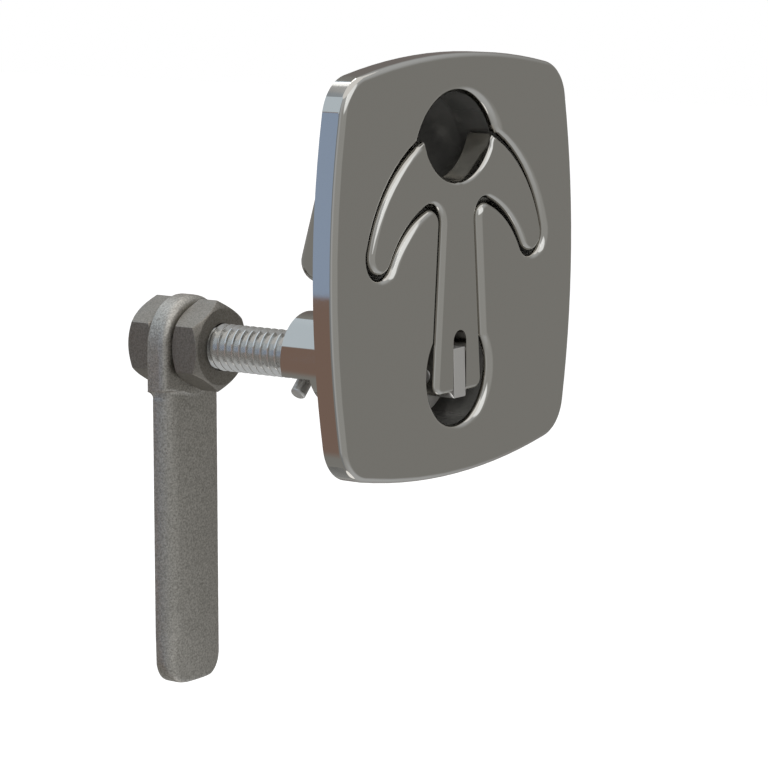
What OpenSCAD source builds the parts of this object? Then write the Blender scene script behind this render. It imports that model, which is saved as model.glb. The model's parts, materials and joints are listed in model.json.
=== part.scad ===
// Flush hatch latch with an anchor-shaped lift handle, an M10 spindle and an adjustable pawl.
// Millimetres. X across the face, +Y into the hatch, +Z up. y = 0 is the rear face of the flange.

/* [Plate] */
// width of the face plate over the bowed sides
plate_w = 84.4; // [80:0.2:110]
// height of the face plate over the bowed ends
plate_h = 84.4; // [82:0.2:110]
// thickness of the flange
plate_t = 5; // [4.4:0.1:8]
// bow radius of the left and right sides
side_bow_r = 170; // [120:1:400]
// bow radius of the top and bottom ends
end_bow_r = 170; // [120:1:400]
// corner radius in the face view
corner_r = 8.7; // [5:0.1:14]
// rounding of the front edge
edge_r = 1.4; // [0.5:0.1:3]
// rounding of every rim sunk into the face
rim_r = 1.7; // [0.6:0.1:2.2]
// wall round and under the sunken recess
pan_wall = 2.4; // [1.8:0.1:3]
// floor of the round pocket under the handle's foot
pocket_floor = 2; // [1.5:0.1:3]
// height of the spindle axis above the lower end of the plate
spindle_up = 20.7; // [19:0.1:28]

/* [Handle] */
// radius of the arc along the outside of the flukes
fluke_r = 31.1; // [29:0.1:32]
// height of that arc's centre above the spindle axis
fluke_z = 18.2; // [17:0.1:20]
// radius of the arc under each fluke
lobe_r = 22.3; // [21:0.1:23.4]
// sideways place of the arc under each fluke
lobe_x = 3.75; // [3:0.05:4.6]
// height of the arc under each fluke above the spindle axis
lobe_z = 13; // [12:0.1:14]
// height of the rounded fluke tips above the spindle axis
tip_z = 25.7; // [24:0.1:27]
// half width of the stem at its foot
stem_foot = 8.3; // [7.4:0.05:9]
// half width of the stem under the crown
stem_neck = 5.54; // [4.8:0.02:6.2]
// corner radius between stem and fluke
neck_r = 4; // [3.4:0.1:4.6]
// how far the foot reaches below the spindle axis
foot_drop = 4.1; // [3.4:0.1:4.4]
// corner radius of the foot
foot_r = 2.2; // [1.8:0.1:3]
// thickness of the handle
handle_t = 6.4; // [5.6:0.1:7]
// rounding of the handle's front edges
handle_edge_r = 1.4; // [0.5:0.1:1.5]
// gap between the handle and the wall of its recess
handle_gap = 0.9; // [0.5:0.05:1.1]
// radius of the thumb dish cut into the crown
dish_r = 12.5; // [10:0.1:13]
// height of the dish centre above the spindle axis
dish_z = 50.7; // [50:0.1:53]
// rounding of the dish's rim
dish_edge_r = 1; // [0.6:0.1:1.4]

/* [Finger cup] */
// radius of the finger hole
cup_r = 14.9; // [12:0.1:16]
// height of the finger hole above the spindle axis
cup_z = 41; // [40:0.1:43]
// rounding of the finger hole's rim
cup_rim_r = 2.2; // [1:0.1:2.6]
// depth of the cup's back behind the front face
cup_deep = 34; // [29:0.5:38]
// lower edge of the finger hole above the spindle axis
mouth_z = 36; // [34:0.1:37]
// half width of the cup at its back
cup_half = 10.5; // [8:0.1:12]
// rounding of the cup's back
cup_round = 4.5; // [3:0.1:6]
// height of the cup's bottom above the spindle axis
cup_low = 16.4; // [14:0.1:20]
// height of the cup's back, bottom to shoulder
cup_rise = 12.6; // [8:0.1:16]
// how much shallower the cup is at its shoulder
cup_lean = 3.6; // [1:0.1:6]
// wall of the cup
cup_wall = 1.6; // [1.2:0.1:2]
// straight collar at the cup's mouth
cup_collar = 1; // [0.5:0.1:2]
// ledge round the cup on the back of the plate
cup_ledge = 1.4; // [1:0.1:2]

/* [Spindle] */
// diameter of the spindle
spindle_d = 10; // [8:0.5:12]
// length of thread standing out of the rear nut
spindle_over = 1.5; // [1.1:0.1:20]
// chamfer on the end of the thread
tip_chamfer = 1; // [0.5:0.1:1.1]
// thickness of the spindle's round head
head_t = 3; // [2:0.1:4]
// width of the tang that fills the fork of the handle
tang_w = 4.3; // [3.4:0.1:5]
// height of the tang
tang_h = 10.1; // [9:0.1:10.4]
// diameter of the pivot pin
pivot_d = 3; // [2:0.1:3.4]
// how far each end of the pivot pin lies inside the stem
pin_inset = 0.35; // [0.2:0.05:1]
// outside radius of the guide sleeve
sleeve_r = 9.45; // [8.6:0.05:11]
// sleeve end behind the front face
sleeve_end = 38.05; // [36:0.05:46]
// length of the open sector at the sleeve end
sector_len = 7.05; // [6:0.05:9]
// angle of the sector edge below the horizontal
sector_ang = 20; // [16:0.5:24]
// distance of the stop pin from the sleeve end
stop_back = 2.55; // [2.2:0.05:4]
// diameter of the stop pin
stop_d = 3.2; // [2.4:0.1:3.6]
// chamfer on the outer end of the stop pin
pin_chamfer = 0.3; // [0.1:0.05:0.6]
// distance of the stop pin's inner end from the axis
stop_seat = 1; // [0.5:0.1:2]
// reach of the stop pin from the axis
stop_reach = 9.9; // [9.6:0.1:13]

/* [Pawl] */
// front face of the pawl's eye behind the front face of the plate
pawl_at = 67.7; // [60:0.1:70]
// thickness of the eye
eye_t = 5; // [4.4:0.1:5.6]
// outside radius of the eye
eye_r = 10.5; // [9.6:0.1:13]
// length of the eye block below the axis
eye_drop = 9.5; // [8:0.1:14]
// half width of the tongue
tongue_half = 8.5; // [6.5:0.1:9]
// thickness of the tongue
tongue_t = 3.8; // [3:0.1:4.2]
// tongue end below the axis
tongue_drop = 73.3; // [55:0.1:90]
// corner radius of the tongue end
tongue_r = 5; // [2:0.1:6]
// width of the nuts across flats
nut_af = 17; // [16:0.5:19]
// distance of the nuts' chamfer circle inside their flats
nut_in = 0.34; // [0.1:0.02:0.8]
// slope of the nuts' chamfer from their faces
nut_slope = 38; // [25:1:42]
// thickness of the nuts
nut_t = 7; // [6:0.1:8]

/* [Mounting] */
// distance of the fixing holes from the plate's sides and ends
fix_in = 10.2; // [9:0.1:13]
// core diameter of the tapped holes
fix_d = 4.2; // [3.2:0.1:5]
// depth of the tapped holes
fix_deep = 3.6; // [2.6:0.1:3.8]

/* [Fits] */
// radial running clearance of turning and sliding pieces
run_gap = 0.05; // [0.03:0.01:0.09]
// radial clearance of a pin in its tight hole
pin_gap = 0.02; // [0.01:0.005:0.04]
// gap between the spindle's head and its threaded part
end_gap = 0.1; // [0.06:0.01:0.3]
// gap between the tang's swinging corner and the end of the fork
slot_gap = 0.35; // [0.2:0.05:0.8]
// gap between the swinging foot and the spindle's head
swing_gap = 0.7; // [0.4:0.1:1.2]
// gap between the foot's corner and the wall of the pocket
pocket_gap = 1.4; // [1:0.1:2]
// gap between the spindle's head and the wall of the pocket
head_gap = 1.6; // [1.2:0.1:2.4]
// clearance of the tang in the fork, each side
fork_gap = 0.1; // [0.06:0.01:0.2]
// clearance below the handle
floor_gap = 0.6; // [0.4:0.05:0.9]

/* [Hidden] */
$fn = 64;
// steps of a rounded edge
fillet_n = 7;
// the rims run this far past the face so that they cut it cleanly
rim_over = 0.02;
// edge cutters reach this far outside the solid, and plain cuts that far
ring_over = 0.7;
cut_over = 1;
// bosses start this deep inside the flange, each a step deeper than the last
root = 0.5;
root_step = 0.3;
// each arc of an outline stops this many degrees short of the next arc
corner_trim = 6;
neck_trim = 8;
tip_trim = 10;
// the stop pin points down to the left
stop_turn = -135;
face_y = -plate_t;
sz = spindle_up - plate_h / 2;
// depths behind the front face
pivot_deep = handle_t / 2;
recess_deep = handle_t + floor_gap;
pan_deep = recess_deep + pan_wall;
head_deep = pivot_deep + sqrt(pow(foot_drop, 2) + pow(handle_t - pivot_deep, 2)) + swing_gap;
pocket_deep = head_deep + head_t;
pocket_back = pocket_deep + pocket_floor;
sector_deep = sleeve_end - sector_len;
stop_deep = sleeve_end - stop_back;
spindle_end = pawl_at + eye_t + nut_t + spindle_over;
// radii
spindle_r = spindle_d / 2;
bore_r = spindle_r + run_gap;
pocket_r = sqrt(pow(stem_foot, 2) + pow(foot_drop, 2)) + pocket_gap;
head_r = pocket_r - head_gap;
slot_half = tang_w / 2 + fork_gap;
slot_top = sqrt(pow(tang_h / 2, 2) + pow(pivot_deep, 2)) + slot_gap;

// points of an arc with their outward normals; side is -1 where the arc is hollow
function arc(cx, cz, r, a0, a1, n, side = 1) = [for (i = [0:n])
    let (a = a0 + (a1 - a0) * i / n)
    [cx + r * cos(a), cz + r * sin(a), side * cos(a), side * sin(a)]];
// the same outline on the left side, run backwards
function mirrored(o) = [for (i = [len(o) - 1:-1:0]) [-o[i][0], o[i][1], -o[i][2], o[i][3]]];
// one outline moved out by off and placed at depth d
function ring(o, off, d) = [for (p = o) [p[0] + p[2] * off, face_y + d, p[1] + p[3] * off]];

// bowed plate outline about the plate centre
side_c = [plate_w / 2 - side_bow_r, 0];
end_c = [0, plate_h / 2 - end_bow_r];
corner_d = norm(end_c - side_c);
corner_a = side_bow_r - corner_r;
corner_b = end_bow_r - corner_r;
corner_m = (pow(corner_a, 2) - pow(corner_b, 2) + pow(corner_d, 2)) / (2 * corner_d);
corner_s = sqrt(pow(corner_a, 2) - pow(corner_m, 2));
corner_u = (end_c - side_c) / corner_d;
corner_c = side_c + corner_m * corner_u + corner_s * [-corner_u[1], corner_u[0]];
corner_f = corner_c[0] > 0 ? corner_c : side_c + corner_m * corner_u - corner_s * [-corner_u[1], corner_u[0]];
side_a = atan2(corner_f[1] - side_c[1], corner_f[0] - side_c[0]);
end_a = atan2(corner_f[1] - end_c[1], corner_f[0] - end_c[0]);
plate_q = concat(arc(side_c[0], side_c[1], side_bow_r, 0, side_a, 7),
    arc(corner_f[0], corner_f[1], corner_r, side_a + corner_trim, end_a - corner_trim, 10),
    arc(end_c[0], end_c[1], end_bow_r, end_a, 90, 7));
plate_top = concat(plate_q, [for (i = [1:len(plate_q) - 1]) mirrored(plate_q)[i]]);
plate_o = concat(plate_top, [for (i = [len(plate_top) - 2:-1:1]) let (p = plate_top[i])
    [p[0], -p[1], p[2], -p[3]]]);

// anchor outline about the spindle axis
neck_z = lobe_z + lobe_r - neck_r;
stem_lean = atan((stem_foot - stem_neck) / (neck_z + foot_drop));
stem_n = [cos(stem_lean), sin(stem_lean)];
// centre of the neck arc, on the stem line moved out by its radius
neck_p = [stem_neck, neck_z] + neck_r * stem_n;
neck_q = neck_p - [lobe_x, lobe_z];
neck_t = [-stem_n[1], stem_n[0]];
neck_k = neck_q * neck_t;
neck_w = sqrt(pow(neck_k, 2) - neck_q * neck_q + pow(lobe_r - neck_r, 2)) - neck_k;
neck_c = neck_p + neck_w * neck_t;
neck_a = atan2(neck_c[1] - lobe_z, neck_c[0] - lobe_x);
// centre of the tip circle: equally far from both arcs
function tip_err(x) = fluke_r - norm([x, tip_z - fluke_z]) - norm([x - lobe_x, tip_z - lobe_z]) + lobe_r;
function tip_find(lo, hi, n) = n == 0 ? (lo + hi) / 2 :
    tip_err((lo + hi) / 2) > 0 ? tip_find((lo + hi) / 2, hi, n - 1) : tip_find(lo, (lo + hi) / 2, n - 1);
tip_x = tip_find(lobe_x + lobe_r * 0.8, fluke_r, 30);
tip_r = fluke_r - norm([tip_x, tip_z - fluke_z]);
tip_a = atan2(tip_z - lobe_z, tip_x - lobe_x);
tip_b = atan2(tip_z - fluke_z, tip_x);
foot_x = stem_foot - foot_r * (1 + sin(stem_lean)) / cos(stem_lean);
anchor_half = concat(
    arc(foot_x, foot_r - foot_drop, foot_r, -90, stem_lean, 6),
    arc(neck_c[0], neck_c[1], neck_r, 180 + stem_lean, neck_a + neck_trim, 10, -1),
    arc(lobe_x, lobe_z, lobe_r, neck_a, tip_a, 11, -1),
    arc(tip_x, tip_z, tip_r, tip_a + 180 + tip_trim, tip_b + 360 - tip_trim, 12),
    arc(0, fluke_z, fluke_r, tip_b, 90, 14));
anchor_o = concat(anchor_half, [for (i = [1:len(anchor_half) - 1]) mirrored(anchor_half)[i]]);

// closed ring that rounds an edge: it runs along outline o, moved out by off, with the solid on one side
module edge_ring(o, off, r, side) {
    n = len(o);
    cut = concat([[ring_over, -ring_over], [ring_over, r]],
        [for (i = [0:fillet_n]) let (a = 90 * i / fillet_n)
            [r * (cos(a) - 1) + rim_over, r * (1 - sin(a)) - rim_over]],
        [[-r, -ring_over]]);
    m = len(cut);
    pts = [for (c = cut) each ring(o, off + side * c[0], c[1])];
    faces = [for (j = [0:m - 1]) for (i = [0:n - 1]) for (k = [0, 1])
        let (i1 = (i + 1) % n, j1 = (j + 1) % m, a = j * n + i, b = j * n + i1, c = j1 * n + i1, d = j1 * n + i)
        k == 0 ? (side > 0 ? [a, b, c] : [a, c, b]) : (side > 0 ? [a, c, d] : [a, d, c])];
    polyhedron(pts, faces, convexity = 8);
}

// round bar along Y between two depths
module bar(r, d0, d1, r1 = undef) {
    translate([0, face_y + d1, 0])
        rotate([90, 0, 0])
            cylinder(h = d1 - d0, r1 = is_undef(r1) ? r : r1, r2 = r);
}

// flat shape carried from one depth to another
module slab(d0, d1) {
    translate([0, face_y + d1, 0])
        rotate([90, 0, 0])
            linear_extrude(height = d1 - d0)
                children();
}

// round hole with a rounded rim in the front face
module rim_hole(r, d1, rr) {
    translate([0, face_y + d1, 0])
        rotate([90, 0, 0])
            rotate_extrude($fn = 72)
                polygon(concat([[0, 0], [r, 0]],
                    [for (i = [0:fillet_n]) let (a = 90 * i / fillet_n)
                        [r + rr - rr * cos(a), d1 - rr + rr * sin(a) + rim_over]],
                    [[r + rr, d1 + cut_over], [0, d1 + cut_over]]));
}

// flat outline moved out by off
module flat(o, off = 0) {
    polygon([for (p = o) [p[0] + p[2] * off, p[1] + p[3] * off]]);
}

module face_plate() {
    color([0.72, 0.72, 0.70])
        difference() {
            union() {
                slab(0, plate_t)
                    flat(plate_o);
                translate([0, 0, sz]) {
                    slab(plate_t - root, pan_deep)
                        flat(anchor_o, handle_gap + pan_wall);
                    translate([0, 0, cup_z])
                        bar(cup_r + cup_wall + cup_ledge, plate_t - root - root_step, pan_deep);
                    bar(pocket_r + pan_wall, plate_t - root - 2 * root_step, pocket_back);
                }
            }
            edge_ring(plate_o, 0, edge_r, 1);
            translate([0, 0, sz])
                slab(-cut_over, recess_deep)
                    flat(anchor_o, handle_gap);
            translate([0, 0, sz])
                edge_ring(anchor_o, handle_gap, rim_r, -1);
            translate([0, 0, sz])
                rim_hole(pocket_r, pocket_deep, rim_r);
            intersection() {
                translate([0, 0, sz + cup_z])
                    rim_hole(cup_r, pan_deep + cut_over, cup_rim_r);
                translate([-2 * cup_r, face_y - 2 * cut_over, sz + mouth_z])
                    cube([4 * cup_r, pan_deep + 4 * cut_over, 4 * cup_r]);
            }
            translate([0, 0, sz])
                bar(bore_r, pocket_deep - cut_over, pocket_back + cut_over);
            for (x = [-1, 1], z = [-1, 1])
                translate([x * (plate_w / 2 - fix_in), 0, z * (plate_h / 2 - fix_in)])
                    bar(fix_d / 2, plate_t - fix_deep, plate_t + cut_over);
        }
}

// outside or inside of the finger cup
module cup_form(less, lead) {
    low = cup_low + cup_round;
    hull() {
        translate([0, 0, cup_z])
            bar(cup_r + cup_wall - less, pan_deep - lead, pan_deep + cup_collar);
        for (x = [-1, 1]) {
            translate([x * (cup_half - cup_round), face_y + cup_deep - cup_round, low])
                sphere(r = cup_round - less, $fn = 32);
            translate([x * (cup_half - cup_round), face_y + cup_deep - cup_round - cup_lean, low + cup_rise])
                sphere(r = cup_round - less, $fn = 32);
        }
    }
}

module finger_cup() {
    color([0.70, 0.70, 0.68])
        translate([0, 0, sz])
            difference() {
                cup_form(0, 0);
                cup_form(cup_wall, cut_over);
            }
}

module spindle_sleeve() {
    far = 3 * sleeve_r;
    edge = far * [cos(sector_ang), -sin(sector_ang)];
    color([0.70, 0.70, 0.68])
        translate([0, 0, sz])
            difference() {
                bar(sleeve_r, pocket_back, sleeve_end);
                bar(bore_r, pocket_back - cut_over, sleeve_end + cut_over);
                slab(sector_deep, sleeve_end + cut_over)
                    polygon([[0, 0], [-edge[0], edge[1]], [-far, -far], [far, -far], edge]);
            }
}

module anchor_handle() {
    color([0.74, 0.74, 0.72])
        translate([0, 0, sz])
            difference() {
                slab(0, handle_t)
                    flat(anchor_o);
                edge_ring(anchor_o, 0, handle_edge_r, 1);
                translate([0, 0, dish_z])
                    rim_hole(dish_r, handle_t + cut_over, dish_edge_r);
                slab(-cut_over, handle_t + cut_over) {
                    translate([0, slot_top])
                        circle(r = slot_half);
                    translate([-slot_half, -foot_drop - cut_over])
                        square([2 * slot_half, foot_drop + cut_over + slot_top]);
                }
                translate([-2 * stem_foot, face_y + pivot_deep, 0])
                    rotate([0, 90, 0])
                        cylinder(h = 4 * stem_foot, r = pivot_d / 2 + pin_gap);
            }
}

module pivot_pin() {
    color([0.55, 0.55, 0.55])
        translate([pin_inset - stem_foot, face_y + pivot_deep, sz])
            rotate([0, 90, 0])
                cylinder(h = 2 * (stem_foot - pin_inset), r = pivot_d / 2);
}

module spindle_head() {
    color([0.66, 0.65, 0.62])
        translate([0, 0, sz])
            difference() {
                union() {
                    bar(head_r, head_deep, pocket_deep);
                    translate([-tang_w / 2, face_y, -tang_h / 2])
                        cube([tang_w, head_deep + root, tang_h]);
                }
                translate([-2 * stem_foot, face_y + pivot_deep, 0])
                    rotate([0, 90, 0])
                        cylinder(h = 4 * stem_foot, r = pivot_d / 2 + run_gap);
            }
}

module threaded_spindle() {
    color([0.62, 0.60, 0.57])
        translate([0, 0, sz])
            difference() {
                union() {
                    bar(spindle_r, pocket_deep + end_gap, spindle_end - tip_chamfer);
                    bar(spindle_r, spindle_end - tip_chamfer, spindle_end, spindle_r - tip_chamfer);
                }
                translate([0, face_y + stop_deep, 0])
                    rotate([0, stop_turn, 0])
                        translate([0, 0, stop_seat])
                            cylinder(h = spindle_r + cut_over, r = stop_d / 2 + pin_gap);
            }
}

module stop_pin() {
    color([0.55, 0.55, 0.54])
        translate([0, face_y + stop_deep, sz])
            rotate([0, stop_turn, 0])
                translate([0, 0, stop_seat]) {
                    cylinder(h = stop_reach - stop_seat - pin_chamfer, r = stop_d / 2);
                    translate([0, 0, stop_reach - stop_seat - pin_chamfer])
                        cylinder(h = pin_chamfer, r1 = stop_d / 2, r2 = stop_d / 2 - pin_chamfer);
                }
}

// chamfered hexagon nut with its front face at depth d0
module hex_nut(d0) {
    flat = nut_af / 2 - nut_in;
    tip = nut_af / 2 / cos(30);
    drop = (tip + cut_over - flat) * tan(nut_slope);
    translate([0, face_y + d0 + nut_t, sz])
        rotate([90, 30, 0])
            difference() {
                intersection() {
                    cylinder(h = nut_t, r = tip, $fn = 6);
                    rotate_extrude()
                        polygon([[0, 0], [flat, 0], [tip + cut_over, drop], [tip + cut_over, nut_t - drop],
                            [flat, nut_t], [0, nut_t]]);
                }
                translate([0, 0, -cut_over])
                    cylinder(h = nut_t + 2 * cut_over, r = bore_r);
            }
}

module front_nut() {
    color([0.50, 0.48, 0.45])
        hex_nut(pawl_at - nut_t);
}

module rear_nut() {
    color([0.50, 0.48, 0.45])
        hex_nut(pawl_at + eye_t);
}

module pawl() {
    step_r = eye_r - tongue_half;
    front = pawl_at + eye_t - tongue_t;
    color([0.48, 0.46, 0.43])
        translate([0, 0, sz])
            difference() {
                union() {
                    slab(pawl_at, pawl_at + eye_t) {
                        circle(r = eye_r);
                        translate([-eye_r, -eye_drop])
                            square([2 * eye_r, eye_drop]);
                    }
                    // the block runs out into the tongue through a hollow on each side
                    slab(front, pawl_at + eye_t)
                        difference() {
                            translate([-eye_r, -eye_drop - step_r])
                                square([2 * eye_r, step_r + root]);
                            for (x = [-1, 1])
                                translate([x * eye_r, -eye_drop - step_r])
                                    circle(r = step_r);
                        }
                    slab(front, pawl_at + eye_t) {
                        translate([-tongue_half, tongue_r - tongue_drop])
                            square([2 * tongue_half, tongue_drop - tongue_r - eye_drop / 2]);
                        translate([tongue_r - tongue_half, -tongue_drop])
                            square([2 * (tongue_half - tongue_r), tongue_drop - eye_drop / 2]);
                        for (x = [-1, 1])
                            translate([x * (tongue_half - tongue_r), tongue_r - tongue_drop])
                                circle(r = tongue_r);
                    }
                }
                bar(bore_r, pawl_at - cut_over, pawl_at + eye_t + cut_over);
            }
}

face_plate();
finger_cup();
spindle_sleeve();
anchor_handle();
pivot_pin();
spindle_head();
threaded_spindle();
stop_pin();
front_nut();
pawl();
rear_nut();
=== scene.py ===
import json
from math import pi, radians, sin

import bpy
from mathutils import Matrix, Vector


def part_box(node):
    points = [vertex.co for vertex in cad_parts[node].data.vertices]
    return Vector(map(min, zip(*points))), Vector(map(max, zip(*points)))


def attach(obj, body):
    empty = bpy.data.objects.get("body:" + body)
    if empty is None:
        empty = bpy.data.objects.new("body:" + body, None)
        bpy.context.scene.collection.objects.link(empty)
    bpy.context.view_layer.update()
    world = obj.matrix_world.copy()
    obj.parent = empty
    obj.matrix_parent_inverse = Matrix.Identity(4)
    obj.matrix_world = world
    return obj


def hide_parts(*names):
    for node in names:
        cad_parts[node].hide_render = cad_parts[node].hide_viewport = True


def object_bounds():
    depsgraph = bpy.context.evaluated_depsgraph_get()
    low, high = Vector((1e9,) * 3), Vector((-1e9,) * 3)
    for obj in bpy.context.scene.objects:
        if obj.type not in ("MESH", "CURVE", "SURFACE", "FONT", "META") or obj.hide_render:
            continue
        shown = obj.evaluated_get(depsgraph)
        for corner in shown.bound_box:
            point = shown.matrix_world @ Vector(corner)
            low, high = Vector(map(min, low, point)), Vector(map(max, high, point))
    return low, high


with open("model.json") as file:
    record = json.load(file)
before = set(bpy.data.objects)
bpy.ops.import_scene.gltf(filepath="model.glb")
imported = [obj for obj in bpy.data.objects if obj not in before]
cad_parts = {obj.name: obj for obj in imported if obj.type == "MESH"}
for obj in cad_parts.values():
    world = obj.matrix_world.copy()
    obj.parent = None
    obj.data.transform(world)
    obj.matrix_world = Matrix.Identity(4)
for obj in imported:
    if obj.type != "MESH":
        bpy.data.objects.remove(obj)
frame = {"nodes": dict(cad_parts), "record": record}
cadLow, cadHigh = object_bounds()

mm = 0.001
scene = bpy.context.scene
scene.view_settings.view_transform = "Standard"
joints = frame["record"]["behaviour"]["joints"]
spindleZ = next(joint["pos_m"][2] for joint in joints if joint["name"] == "spindle_turn")
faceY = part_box("face_plate")[0].y  # front face of the plate, depths count from here
print("frame loaded", len(frame["nodes"]), "nodes")


# small helpers
def linear(hexColour):
    parts = [int(hexColour[i:i + 2], 16) / 255 for i in (1, 3, 5)]
    return [c / 12.92 if c <= 0.04045 else ((c + 0.055) / 1.055) ** 2.4 for c in parts] + [1.0]


def addNode(tree, kind, inputs=None, stops=(), **settings):
    # inputs hold values or sockets to link, stops are the marks of a colour ramp
    node = tree.nodes.new(kind)
    for name, value in settings.items():
        setattr(node, name, value)
    for name, value in (inputs or {}).items():
        if isinstance(value, bpy.types.NodeSocket):
            tree.links.new(value, node.inputs[name])
        else:
            node.inputs[name].default_value = value
    if stops:
        marks = node.color_ramp.elements
        while len(marks) < len(stops):
            marks.new(0.5)
        for mark, (place, colour) in zip(marks, stops):
            mark.position = place
            mark.color = colour
    return node


def newMaterial(name, shaderKind="ShaderNodeBsdfPrincipled"):
    material = bpy.data.materials.new(name)
    material.use_nodes = True
    tree = material.node_tree
    tree.nodes.clear()
    shader = addNode(tree, shaderKind)
    addNode(tree, "ShaderNodeOutputMaterial", {"Surface": shader.outputs[0]})
    return material, tree, shader


def deselectAll():
    if bpy.context.object and bpy.context.object.mode != "OBJECT":
        bpy.ops.object.mode_set(mode="OBJECT")
    bpy.ops.object.select_all(action="DESELECT")


def makeActive(piece):
    deselectAll()
    piece.select_set(True)
    bpy.context.view_layer.objects.active = piece


def selectIn(piece, mode, test):
    # leaves the piece in edit mode with only the points or edges that pass the test selected
    makeActive(piece)
    bpy.ops.object.mode_set(mode="EDIT")
    bpy.ops.mesh.select_mode(type=mode)
    bpy.ops.mesh.select_all(action="DESELECT")
    bpy.ops.object.mode_set(mode="OBJECT")
    points = piece.data.vertices
    if mode == "VERT":
        for point in points:
            point.select = test(point.co)
    else:
        for edge in piece.data.edges:
            edge.select = test(*[points[i].co for i in edge.vertices])
    bpy.ops.object.mode_set(mode="EDIT")


def applyModifier(piece, kind, **settings):
    makeActive(piece)
    modifier = piece.modifiers.new(kind.lower(), kind)
    for name, value in settings.items():
        setattr(modifier, name, value)
    bpy.ops.object.modifier_apply(modifier=modifier.name)


def breakEdges(piece, width, segments, sharperThan):
    applyModifier(piece, "BEVEL", width=width, segments=segments, limit_method="ANGLE",
                  angle_limit=radians(sharperThan))


cadSet = {"merge": 0.002 * mm, "flatDegrees": 0.3}


def takeFromCad(node, name):
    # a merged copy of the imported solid, with its flat triangles joined to whole faces
    piece = bpy.data.objects.new(name, frame["nodes"][node].data.copy())
    scene.collection.objects.link(piece)
    piece.data.materials.clear()
    makeActive(piece)
    bpy.ops.object.mode_set(mode="EDIT")
    bpy.ops.mesh.select_all(action="SELECT")
    bpy.ops.mesh.remove_doubles(threshold=cadSet["merge"])
    bpy.ops.mesh.dissolve_limited(angle_limit=radians(cadSet["flatDegrees"]))
    bpy.ops.object.mode_set(mode="OBJECT")
    return piece


crispDegrees = 24  # edges sharper than this stay crisp on machined pieces


def smoothByAngle(piece, degrees=crispDegrees):
    makeActive(piece)
    bpy.ops.object.shade_smooth_by_angle(angle=radians(degrees))
    applyModifier(piece, "WEIGHTED_NORMAL", keep_sharp=True, weight=80)


def hand(piece, body, material, slot, *nodes):
    piece.data.materials.append(material)
    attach(piece, body)
    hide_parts(*nodes)
    print("piece", piece.name, len(piece.data.polygons), "faces")


# camera at the photograph's angle
cameraSet = {"lens": 147.82, "sensor": 36, "turn": (81.034, 0.0, -54.35), "place": (-0.5154, -0.3560, 0.0745)}
cameraData = bpy.data.cameras.new("camera")
cameraData.lens = cameraSet["lens"]
cameraData.sensor_width = cameraSet["sensor"]
camera = bpy.data.objects.new("camera", cameraData)
camera.rotation_euler = [radians(a) for a in cameraSet["turn"]]
camera.location = cameraSet["place"]
scene.collection.objects.link(camera)
scene.camera = camera
print("camera set")


# materials
noiseLow, noiseHigh = 0.3, 0.7  # the part of its range that a noise mostly uses


# mirror-polished 316 stainless: clear reflections, faintly wavy from the buffing wheel
def polishedStainless():
    look = {"colour": "#c6c3bd", "roughness": 0.05, "hairMm": 0.4, "waveMm": 9.0, "waveStrength": 0.04,
            "waveDeepMm": 0.2}
    material, tree, shader = newMaterial("polishedStainless")
    place = addNode(tree, "ShaderNodeTexCoord").outputs["Object"]
    hair = addNode(tree, "ShaderNodeTexNoise", {
        "Vector": place, "Scale": 1 / (look["hairMm"] * mm), "Detail": 3.0})
    wave = addNode(tree, "ShaderNodeTexNoise", {
        "Vector": place, "Scale": 1 / (look["waveMm"] * mm), "Detail": 1.0})
    rough = addNode(tree, "ShaderNodeMapRange", {
        "Value": hair.outputs["Fac"], "From Min": noiseLow, "From Max": noiseHigh,
        "To Min": look["roughness"] * 0.7, "To Max": look["roughness"] * 1.5})
    bump = addNode(tree, "ShaderNodeBump", {
        "Height": wave.outputs["Fac"], "Strength": look["waveStrength"], "Distance": look["waveDeepMm"] * mm})
    shader.inputs["Base Color"].default_value = linear(look["colour"])
    shader.inputs["Metallic"].default_value = 1.0
    tree.links.new(rough.outputs["Result"], shader.inputs["Roughness"])
    tree.links.new(bump.outputs["Normal"], shader.inputs["Normal"])
    return material


# the sunk walls: painted shade, a darker and softer stainless than the face so the recesses look shadowed; its
# tone wanders in random patches
def recessShadeStainless():
    look = {"colour": "#9c9b97", "dark": "#8b8a87", "metallic": 0.7, "roughness": 0.16, "patchMm": 5.0}
    material, tree, shader = newMaterial("recessShadeStainless")
    place = addNode(tree, "ShaderNodeTexCoord").outputs["Object"]
    patch = addNode(tree, "ShaderNodeTexNoise", {
        "Vector": place, "Scale": 1 / (look["patchMm"] * mm), "Detail": 3.0})
    tone = addNode(tree, "ShaderNodeValToRGB", {"Fac": patch.outputs["Fac"]},
                   stops=[(0.35, linear(look["dark"])), (0.65, linear(look["colour"]))])
    tree.links.new(tone.outputs["Color"], shader.inputs["Base Color"])
    shader.inputs["Metallic"].default_value = look["metallic"]
    shader.inputs["Roughness"].default_value = look["roughness"]
    return material


# turned stainless bar: bright, a little blurred, with fine tool marks
def turnedSteel():
    look = {"colour": "#d4d3d0", "metallic": 0.85, "roughness": 0.18, "markMm": 0.5}
    material, tree, shader = newMaterial("turnedSteel")
    place = addNode(tree, "ShaderNodeTexCoord").outputs["Object"]
    marks = addNode(tree, "ShaderNodeTexNoise", {
        "Vector": place, "Scale": 1 / (look["markMm"] * mm), "Detail": 2.0})
    rough = addNode(tree, "ShaderNodeMapRange", {
        "Value": marks.outputs["Fac"], "From Min": noiseLow, "From Max": noiseHigh,
        "To Min": look["roughness"] * 0.7, "To Max": look["roughness"] * 1.4})
    shader.inputs["Base Color"].default_value = linear(look["colour"])
    shader.inputs["Metallic"].default_value = look["metallic"]
    tree.links.new(rough.outputs["Result"], shader.inputs["Roughness"])
    return material


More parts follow.
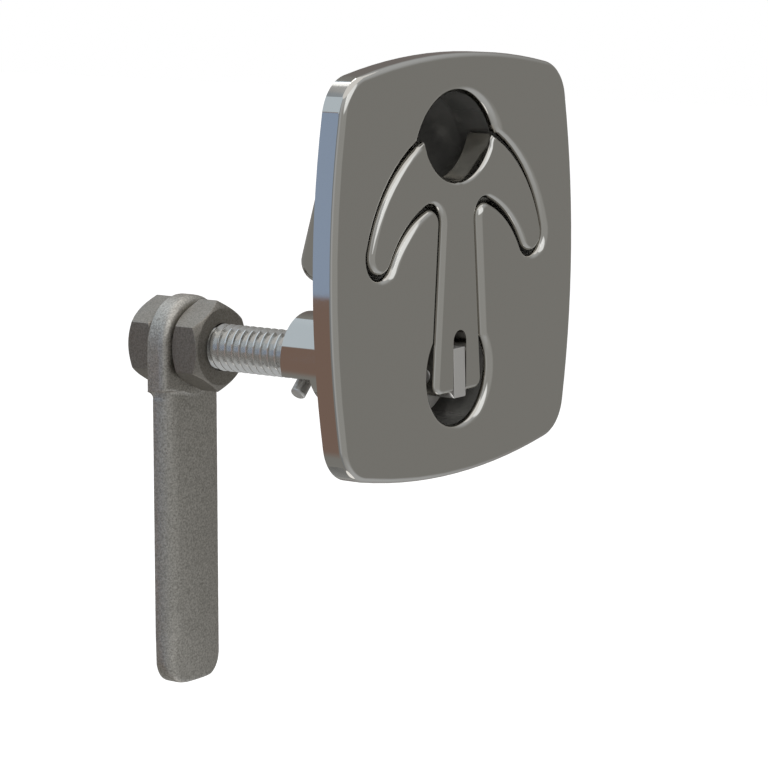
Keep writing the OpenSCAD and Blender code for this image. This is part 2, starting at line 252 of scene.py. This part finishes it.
# drawn pin wire, satin from the die: soft grey shine
def satinPin():
    look = {"colour": "#c4c2bf", "metallic": 0.82, "roughness": 0.42, "grainMm": 0.3, "grainStrength": 0.12,
            "grainDeepMm": 0.05}
    material, tree, shader = newMaterial("satinPin")
    place = addNode(tree, "ShaderNodeTexCoord").outputs["Object"]
    grain = addNode(tree, "ShaderNodeTexNoise", {
        "Vector": place, "Scale": 1 / (look["grainMm"] * mm), "Detail": 3.0})
    bump = addNode(tree, "ShaderNodeBump", {
        "Height": grain.outputs["Fac"], "Strength": look["grainStrength"], "Distance": look["grainDeepMm"] * mm})
    shader.inputs["Base Color"].default_value = linear(look["colour"])
    shader.inputs["Metallic"].default_value = look["metallic"]
    shader.inputs["Roughness"].default_value = look["roughness"]
    tree.links.new(bump.outputs["Normal"], shader.inputs["Normal"])
    return material


# bead-blasted cast stainless: dull grey with a fine sparkle; the grain is drawn coarse enough to show
def blastedCast(name, colour, dark, strength):
    look = {"roughness": 0.46, "grainMm": 0.4, "grainDeepMm": 0.12, "patchMm": 6.0}
    material, tree, shader = newMaterial(name)
    place = addNode(tree, "ShaderNodeTexCoord").outputs["Object"]
    grain = addNode(tree, "ShaderNodeTexNoise", {
        "Vector": place, "Scale": 1 / (look["grainMm"] * mm), "Detail": 4.0, "Roughness": 0.65})
    patch = addNode(tree, "ShaderNodeTexNoise", {
        "Vector": place, "Scale": 1 / (look["patchMm"] * mm), "Detail": 2.0})
    tone = addNode(tree, "ShaderNodeValToRGB", {"Fac": grain.outputs["Fac"]},
                   stops=[(0.36, linear(dark)), (0.62, linear(colour))])
    rough = addNode(tree, "ShaderNodeMapRange", {
        "Value": patch.outputs["Fac"], "From Min": noiseLow, "From Max": noiseHigh,
        "To Min": look["roughness"] - 0.05, "To Max": look["roughness"] + 0.08})
    bump = addNode(tree, "ShaderNodeBump", {
        "Height": grain.outputs["Fac"], "Strength": strength, "Distance": look["grainDeepMm"] * mm})
    shader.inputs["Metallic"].default_value = 1.0
    tree.links.new(tone.outputs["Color"], shader.inputs["Base Color"])
    tree.links.new(rough.outputs["Result"], shader.inputs["Roughness"])
    tree.links.new(bump.outputs["Normal"], shader.inputs["Normal"])
    return material


polished = polishedStainless()
recessShade = recessShadeStainless()
turned = turnedSteel()
satin = satinPin()
cast = blastedCast("blastedCast", "#c8c4bd", "#9a968f", 0.6)
nutCast = blastedCast("blastedNut", "#9c978f", "#837e77", 0.35)
print("materials made")


# plate, handle and finger cup: polished shells with soft rims; the sunk walls of the plate and the cup get
# painted shade, a darker and duller stainless
shellSet = {"sunkFrom": 2.0 * mm, "edgeKeep": 38 * mm, "lift": 0.2 * mm, "backward": 0.3,
            "cupBackIn": 8 * mm, "cupBackUp": 10 * mm}


# painted shade: the faces that pass the test take the darker, duller stainless
def paintShadeOnSunkWalls(piece, test):
    piece.data.materials.append(recessShade)
    for face in piece.data.polygons:
        if test(face):
            face.material_index = 1


def opensToFront(piece):
    # a wall of the recess: it lies below the face, inside the border, and nothing stands before it
    def test(face):
        spot = face.center + face.normal * shellSet["lift"]
        inside = max(abs(spot.x), abs(spot.z)) < shellSet["edgeKeep"] and spot.y > faceY + shellSet["sunkFrom"]
        return inside and face.normal.y < shellSet["backward"] and not piece.ray_cast(spot, (0, -1, 0))[0]
    return test


def looksInwards(low, high):
    # true on the cup's inner wall, which faces the line from its mouth to its back
    def test(face):
        along = min(max((face.center - low).dot(high - low) / (high - low).length_squared, 0), 1)
        return (low.lerp(high, along) - face.center).dot(face.normal) > 0
    return test


shells = {}
for node, name, body in (("face_plate", "facePlate", "housing"), ("finger_cup", "fingerCup", "housing"),
                         ("anchor_handle", "anchorHandle", "handle")):
    shell = takeFromCad(node, name)
    smoothByAngle(shell)
    hand(shell, body, polished, "polished_stainless", node)
    shells[node] = shell
cupLow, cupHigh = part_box("finger_cup")
cupMouth = Vector((0, cupLow.y, cupHigh.z - cupHigh.x))
cupBack = Vector((0, cupHigh.y - shellSet["cupBackIn"], cupLow.z + shellSet["cupBackUp"]))
# painted shade: the cup's inner wall and the plate's recess walls get the darker stainless
paintShadeOnSunkWalls(shells["finger_cup"], looksInwards(cupMouth, cupBack))
paintShadeOnSunkWalls(shells["face_plate"], opensToFront(shells["face_plate"]))

# guide sleeve with a broken edge
sleeveSet = {"edge": 0.25 * mm, "segments": 3, "sharperThan": 40}
sleeve = takeFromCad("spindle_sleeve", "guideSleeve")
breakEdges(sleeve, sleeveSet["edge"], sleeveSet["segments"], sleeveSet["sharperThan"])
smoothByAngle(sleeve)
hand(sleeve, "housing", polished, "polished_stainless", "spindle_sleeve")

# tang: a flat bar with rounded long corners and a broken rim on its end
tangSet = {"corner": 0.4 * mm, "cornerSegments": 4, "rim": 0.12 * mm, "rimSegments": 2, "tiny": 0.01 * mm}


def atEnd(point):
    return point.y - faceY < tangSet["tiny"]


tang = takeFromCad("spindle_head", "spindleTang")
selectIn(tang, "EDGE", lambda first, second: atEnd(first) != atEnd(second))  # from the end inwards
bpy.ops.mesh.bevel(offset=tangSet["corner"], segments=tangSet["cornerSegments"], affect="EDGES")
selectIn(tang, "EDGE", lambda first, second: atEnd(first) and atEnd(second))  # round the end
bpy.ops.mesh.bevel(offset=tangSet["rim"], segments=tangSet["rimSegments"], affect="EDGES")
bpy.ops.object.mode_set(mode="OBJECT")
smoothByAngle(tang)
hand(tang, "housing", satin, "steel_bar", "spindle_head")

# pivot pin and stop pin with broken edges
pinSet = {"pivotEdge": 0.3 * mm, "stopEdge": 0.15 * mm, "segments": 3, "sharperThan": 30}
for node, name, body, edge in (("pivot_pin", "pivotPin", "handle", "pivotEdge"),
                               ("stop_pin", "stopPin", "spindle", "stopEdge")):
    pin = takeFromCad(node, name)
    breakEdges(pin, pinSet[edge], pinSet["segments"], pinSet["sharperThan"])
    smoothByAngle(pin)
    hand(pin, body, satin, "steel_bar", node)


# spindle: plain shank in the sleeve, then a rolled thread; the flats are shares of the pitch
threadSet = {"pitch": 1.87 * mm, "depth": 1.05 * mm, "start": 37.4 * mm, "steps": 40, "rootFlat": 0.08,
             "crestFlat": 0.14, "runOut": 2, "chamfer": 1.0 * mm, "merge": 0.001 * mm, "cut": 0.0001 * mm,
             "crispDegrees": 30}
shankSet = {"sides": 64, "edge": 0.3 * mm, "segments": 2, "sharperThan": 40}
spindleLow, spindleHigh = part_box("threaded_spindle")
spindleR = (spindleHigh.x - spindleLow.x) / 2
threadY = faceY + threadSet["start"]


def addThread():
    # one pitch of the flank as a bent edge, carried round by a screw
    pitch = threadSet["pitch"]
    rootR = spindleR - threadSet["depth"]
    turns = int((spindleHigh.y - threadY) / pitch) + 2 * threadSet["runOut"]
    crest = threadSet["crestFlat"] / 2
    profile = [(rootR, 0.0), (rootR, threadSet["rootFlat"]), (spindleR, 0.5 - crest),
               (spindleR, 0.5 + crest), (rootR, 1 - threadSet["rootFlat"]), (rootR, 1.0)]
    deselectAll()
    bpy.ops.mesh.primitive_plane_add(size=1)
    thread = bpy.context.object
    thread.name = "threadedSpindle"
    selectIn(thread, "VERT", lambda point: point.x > 0)
    bpy.ops.mesh.delete(type="VERT")
    bpy.ops.mesh.select_all(action="SELECT")
    bpy.ops.mesh.subdivide(number_cuts=len(profile) - 2)
    bpy.ops.object.mode_set(mode="OBJECT")
    row = sorted(thread.data.vertices, key=lambda v: v.co.y)
    for vertex, (radius, part) in zip(row, profile):
        vertex.co = (radius, threadY + (part - threadSet["runOut"]) * pitch, 0)
    applyModifier(thread, "SCREW", axis="Y", screw_offset=pitch, iterations=turns, steps=threadSet["steps"],
                  render_steps=threadSet["steps"], use_merge_vertices=True, merge_threshold=threadSet["merge"])
    # both ends cut square and closed
    makeActive(thread)
    bpy.ops.object.mode_set(mode="EDIT")
    for y, side in ((threadY, -1), (spindleHigh.y, 1)):
        bpy.ops.mesh.select_all(action="SELECT")
        bpy.ops.mesh.bisect(plane_co=(0, y, 0), plane_no=(0, side, 0), use_fill=True, clear_outer=True,
                            threshold=threadSet["cut"])
    bpy.ops.mesh.select_all(action="SELECT")
    bpy.ops.mesh.normals_make_consistent(inside=False)
    bpy.ops.object.mode_set(mode="OBJECT")
    # chamfered tip, and the thread moved on to the spindle's axis
    for vertex in thread.data.vertices:
        x, y, z = vertex.co
        radius = max((x * x + z * z) ** 0.5, 1e-9)
        most = spindleR - max(0.0, threadSet["chamfer"] - (spindleHigh.y - y))
        shrink = min(1.0, most / radius)
        vertex.co = (x * shrink, y, z * shrink + spindleZ)
    return thread


def addShank():
    length = threadY - spindleLow.y
    deselectAll()
    bpy.ops.mesh.primitive_cylinder_add(
        vertices=shankSet["sides"], radius=spindleR, depth=length,
        location=(0, spindleLow.y + length / 2, spindleZ), rotation=(radians(90), 0, 0))
    shank = bpy.context.object
    bpy.ops.object.transform_apply(location=True, rotation=True, scale=True)
    breakEdges(shank, shankSet["edge"], shankSet["segments"], shankSet["sharperThan"])
    return shank


spindle = addThread()
shank = addShank()
makeActive(spindle)
shank.select_set(True)
bpy.ops.object.join()
smoothByAngle(spindle, threadSet["crispDegrees"])
hand(spindle, "spindle", turned, "steel_bar", "threaded_spindle")

# hexagon nuts with softened corners
nutSet = {"edge": 0.22 * mm, "segments": 2, "sharperThan": 15}
for node, name in (("front_nut", "frontNut"), ("rear_nut", "rearNut")):
    nut = takeFromCad(node, name)
    breakEdges(nut, nutSet["edge"], nutSet["segments"], nutSet["sharperThan"])
    smoothByAngle(nut)
    hand(nut, "pawl_set", nutCast, "blasted_cast", node)

# pawl: a casting, so its front is crowned, its rims are round and its skin is a little uneven
pawlSet = {"voxel": 0.3 * mm, "rounds": 5, "skin": 0.05 * mm, "skinMm": 1.2, "eyeRim": 1.7 * mm,
           "crown": 1.05 * mm, "leftRim": 3.7 * mm, "rightRim": 0.6 * mm, "eyeDrop": 9.3 * mm, "step": 2.0 * mm,
           "endRound": 5.0 * mm, "tongueT": 3.8 * mm, "endShare": 0.2, "endFade": 14 * mm, "swell": 0.15 * mm,
           "crispDegrees": 60}
pawl = takeFromCad("pawl", "castPawl")
pawlLow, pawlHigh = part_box("pawl")
eyeR = pawlHigh.x
tongueHalf = eyeR - pawlSet["step"]


def rimFall(inside, radius):
    # how far a rounded rim lies below the flat at this distance inside the outline
    short = radius - min(max(inside, 0.0), radius)
    return radius - (radius * radius - short * short) ** 0.5


def insideTongue(x, z):
    endR = pawlSet["endRound"]
    across = abs(x) - (tongueHalf - endR)
    below = pawlLow.z + endR - z
    if across > 0 and below > 0:
        return endR - (across * across + below * below) ** 0.5
    return min(tongueHalf - abs(x), z - pawlLow.z)


def shapeFront(x, y, z):
    # squeezes the casting from its front: round rim on the eye, crown and round left rim on the tongue
    up = z - spindleZ
    if up > -pawlSet["eyeDrop"]:
        thick = pawlHigh.y - pawlLow.y
        fall = rimFall(eyeR - ((x * x + up * up) ** 0.5 if up > 0 else abs(x)), pawlSet["eyeRim"])
    else:
        toRight = min(max((x + tongueHalf) / (2 * tongueHalf), 0.0), 1.0)
        full = min(1.0, pawlSet["endShare"] + (z - pawlLow.z) / pawlSet["endFade"])
        rim = pawlSet["leftRim"] * full * (1 - toRight) + pawlSet["rightRim"] * toRight
        thick = pawlSet["tongueT"]
        fall = rimFall(insideTongue(x, z), rim) - pawlSet["crown"] * (1 - min(1.0, (x / tongueHalf) ** 2))
    return max(pawlHigh.y - (pawlHigh.y - y) * (thick - fall) / thick, pawlLow.y)


applyModifier(pawl, "REMESH", mode="VOXEL", voxel_size=pawlSet["voxel"])
for vertex in pawl.data.vertices:
    vertex.co.y = shapeFront(*vertex.co)
applyModifier(pawl, "SMOOTH", factor=0.5, iterations=pawlSet["rounds"])
for vertex in pawl.data.vertices:  # the smoothing has drawn the tongue in a little
    if vertex.co.z - spindleZ < -pawlSet["eyeDrop"] - pawlSet["step"]:
        vertex.co.x *= 1 + pawlSet["swell"] / tongueHalf
skin = bpy.data.textures.new("castSkin", "CLOUDS")
skin.noise_scale = pawlSet["skinMm"] * mm
applyModifier(pawl, "DISPLACE", texture=skin, texture_coords="LOCAL", strength=pawlSet["skin"], mid_level=1.0)
smoothByAngle(pawl, pawlSet["crispDegrees"])
hand(pawl, "pawl_set", cast, "blasted_cast", "pawl")
print("pieces made")


# studio: pale floor, white surround, soft lamps and a toned paper ring for the polish to mirror
studioSet = {"white": "#ffffff", "fill": 0.75}
floorSet = {"drop": 0.42, "size": 14.0, "colour": "#f3f3f3", "roughness": 0.9, "glow": 0.4}


def seenDirectly(tree):
    # 1 where the eye, a mirror or glass looks at it
    path = addNode(tree, "ShaderNodeLightPath").outputs
    mirrored = addNode(tree, "ShaderNodeMath", {0: path["Is Camera Ray"], 1: path["Is Glossy Ray"]},
                       operation="MAXIMUM")
    clear = addNode(tree, "ShaderNodeMath", {0: mirrored.outputs[0], 1: path["Is Transmission Ray"]},
                    operation="MAXIMUM")
    return clear.outputs[0]


world = bpy.data.worlds.new("studioWorld")
scene.world = world
world.use_nodes = True
worldTree = world.node_tree
worldTree.nodes.clear()
level = addNode(worldTree, "ShaderNodeMapRange", {
    "Value": seenDirectly(worldTree), "To Min": studioSet["fill"], "To Max": 1.0})
light = addNode(worldTree, "ShaderNodeBackground", {
    "Color": linear(studioSet["white"]), "Strength": level.outputs["Result"]})
addNode(worldTree, "ShaderNodeOutputWorld", {"Surface": light.outputs["Background"]})

deselectAll()
bpy.ops.mesh.primitive_plane_add(size=floorSet["size"], location=(0, 0, cadLow.z - floorSet["drop"]))
floor = bpy.context.object
floor.name = "paleFloor"
floorMaterial, floorTree, floorShader = newMaterial("paleFloor")
floorShader.inputs["Base Color"].default_value = linear(floorSet["colour"])
floorShader.inputs["Roughness"].default_value = floorSet["roughness"]
floorShader.inputs["Emission Color"].default_value = linear(studioSet["white"])
glow = addNode(floorTree, "ShaderNodeMath", {0: seenDirectly(floorTree), 1: floorSet["glow"]},
               operation="MULTIPLY")
floorTree.links.new(glow.outputs[0], floorShader.inputs["Emission Strength"])
floor.data.materials.append(floorMaterial)

# the ring is open at the top and underneath, shows in reflections alone and lights nothing
# rows: tones by the angle they stand at, each row fading in over the one below it between two heights
# panels: tone, strength, (left, right, low, high), width of the soft border; all angles in degrees
ringSet = {
    "radius": 0.5, "segments": 64, "rings": 48, "openAbove": 54, "openBelow": -76,
    "tones": {"grey": "#939391", "pale": "#acadac", "light": "#c4c7ca", "dim": "#8c9095", "brown": "#8e786e",
              "deep": "#7a7471", "bright": "#dbe9f6", "blue": "#a6b9d6"},
    "rows": [
        (-90, -90, [(-170, "dim"), (-145, "pale"), (-75, "light"), (-20, "light"), (30, "pale"), (120, "grey")]),
        (-46, -26, [(-180, "dim"), (-166, "light"), (-145, "pale"), (-75, "pale"), (-45, "grey"), (0, "grey"),
                    (30, "deep"), (50, "deep"), (65, "grey"), (131, "grey"), (137, "brown"), (155, "brown"),
                    (165, "grey"), (178, "dim")]),
        (16, 50, [(-180, "light"), (15, "light"), (40, "grey")])],
    "panels": [("bright", 1.0, (62, 177, 19, 90), 1.5), ("blue", 1.0, (142.5, 176, -8.6, 19), 0.8),
               ("light", 2.2, (-126, -58, 11, 60), 8.0)]}
ringTones = {name: linear(colour) for name, colour in ringSet["tones"].items()}


def heightAt(degrees):
    return sin(radians(degrees))


deselectAll()
bpy.ops.mesh.primitive_uv_sphere_add(segments=ringSet["segments"], ring_count=ringSet["rings"],
                                     radius=ringSet["radius"])
ring = bpy.context.object
ring.name = "paperRing"
openTop = ringSet["radius"] * heightAt(ringSet["openAbove"])
openEnd = ringSet["radius"] * heightAt(ringSet["openBelow"])
selectIn(ring, "VERT", lambda point: point.z > openTop or point.z < openEnd)
bpy.ops.mesh.delete(type="VERT")
bpy.ops.object.mode_set(mode="OBJECT")

paper, paperTree, paperShader = newMaterial("tonedPaper", "ShaderNodeEmission")
place = addNode(paperTree, "ShaderNodeTexCoord").outputs["Object"]
spot = addNode(paperTree, "ShaderNodeSeparateXYZ", {"Vector": place}).outputs
angle = addNode(paperTree, "ShaderNodeMath", {0: spot["Y"], 1: spot["X"]}, operation="ARCTAN2").outputs[0]
turn = addNode(paperTree, "ShaderNodeMapRange", {
    "Value": angle, "From Min": -pi, "From Max": pi}).outputs["Result"]
rise = addNode(paperTree, "ShaderNodeMath", {0: spot["Z"], 1: ringSet["radius"]}, operation="DIVIDE").outputs[0]
layers = []  # each a list of soft borders and the tone inside them
for low, high, stops in ringSet["rows"]:
    row = addNode(paperTree, "ShaderNodeValToRGB", {"Fac": turn},
                  stops=[(a / 360 + 0.5, ringTones[name]) for a, name in stops])
    layers.append(([(rise, heightAt(low), heightAt(high))], row.outputs["Color"]))
for name, strength, (left, right, low, high), soft in ringSet["panels"]:
    borders = [(angle, radians(left), radians(left + soft)), (angle, radians(right), radians(right - soft)),
               (rise, heightAt(low), heightAt(low + soft)), (rise, heightAt(high), heightAt(high - soft))]
    layers.append((borders, [strength * c for c in ringTones[name][:3]] + [1.0]))
tone = layers[0][1]
for borders, shade in layers[1:]:
    part = None
    for value, start, end in borders:
        edge = addNode(paperTree, "ShaderNodeMapRange", {"Value": value, "From Min": start, "From Max": end},
                       interpolation_type="SMOOTHSTEP").outputs["Result"]
        part = edge if part is None else addNode(
            paperTree, "ShaderNodeMath", {0: part, 1: edge}, operation="MULTIPLY").outputs[0]
    tone = addNode(paperTree, "ShaderNodeMix", {0: part, 6: tone, 7: shade}, data_type="RGBA").outputs[2]
paperTree.links.new(tone, paperShader.inputs["Color"])
ring.data.materials.append(paper)
ring.visible_camera = False
ring.visible_diffuse = False
ring.visible_shadow = False

lampSet = {"aim": (0, 0, -0.005),
           "keyLamp": {"place": (-0.45, -1.2, 1.0), "size": 0.7, "power": 10},
           "rimLamp": {"place": (0.6, 1.0, 1.4), "size": 0.8, "power": 6}}
for name in ("keyLamp", "rimLamp"):
    lamp = bpy.data.lights.new(name, "AREA")
    lamp.size = lampSet[name]["size"]
    lamp.energy = lampSet[name]["power"]
    holder = bpy.data.objects.new(name, lamp)
    holder.location = lampSet[name]["place"]
    holder.rotation_mode = "QUATERNION"
    holder.rotation_quaternion = (Vector(lampSet["aim"]) - holder.location).to_track_quat("-Z", "Y")
    scene.collection.objects.link(holder)
print("studio set")
